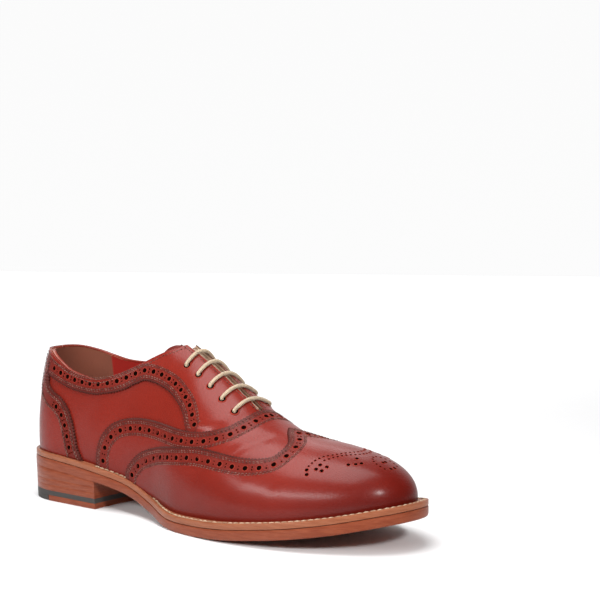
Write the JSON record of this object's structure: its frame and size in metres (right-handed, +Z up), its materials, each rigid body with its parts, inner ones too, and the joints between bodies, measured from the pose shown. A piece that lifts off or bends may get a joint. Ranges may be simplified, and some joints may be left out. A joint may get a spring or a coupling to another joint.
{
  "type": "brogue shoe",
  "caption": "Right wingtip brogue oxford: hollow lasted upper with layered wing cap, facings and counter, closed by lace and tongue, on a welted sole with a stacked heel.",
  "frame": {"origin": "on the floor, at the middle of the heel's flat underside", "axes": "+X from the heel to the toe, +Y to the inner (medial) side, +Z up"},
  "size_m": [0.3003, 0.1104, 0.1073],
  "materials": {
    "upper_leather": "polished cognac red calf with soft creases",
    "overlay_leather": "polished cognac red calf, burnished darker at toe and heel",
    "tongue_leather": "smooth calf, lined",
    "insole_leather": "matt natural leather",
    "welt_leather": "dressed welt leather with thick stitches",
    "sole_leather": "burnished edge of stacked sole leather",
    "heel_rubber": "matt black rubber",
    "lace_cotton": "round waxed cotton braid"
  },
  "bodies": {
    "root": {"upper": "upper_leather", "wing_cap": "overlay_leather", "facing_lateral": "overlay_leather", "facing_medial": "overlay_leather", "heel_counter": "overlay_leather", "tongue": "tongue_leather", "insole": "insole_leather", "welt": "welt_leather", "outsole": "sole_leather", "heel_lift_1": "sole_leather", "heel_lift_2": "sole_leather", "heel_lift_3": "sole_leather", "heel_rubber_layer": "heel_rubber", "heel_top_piece": "sole_leather", "heel_rubber_tip": "heel_rubber", "lace": "lace_cotton"}
  },
  "joints": []
}
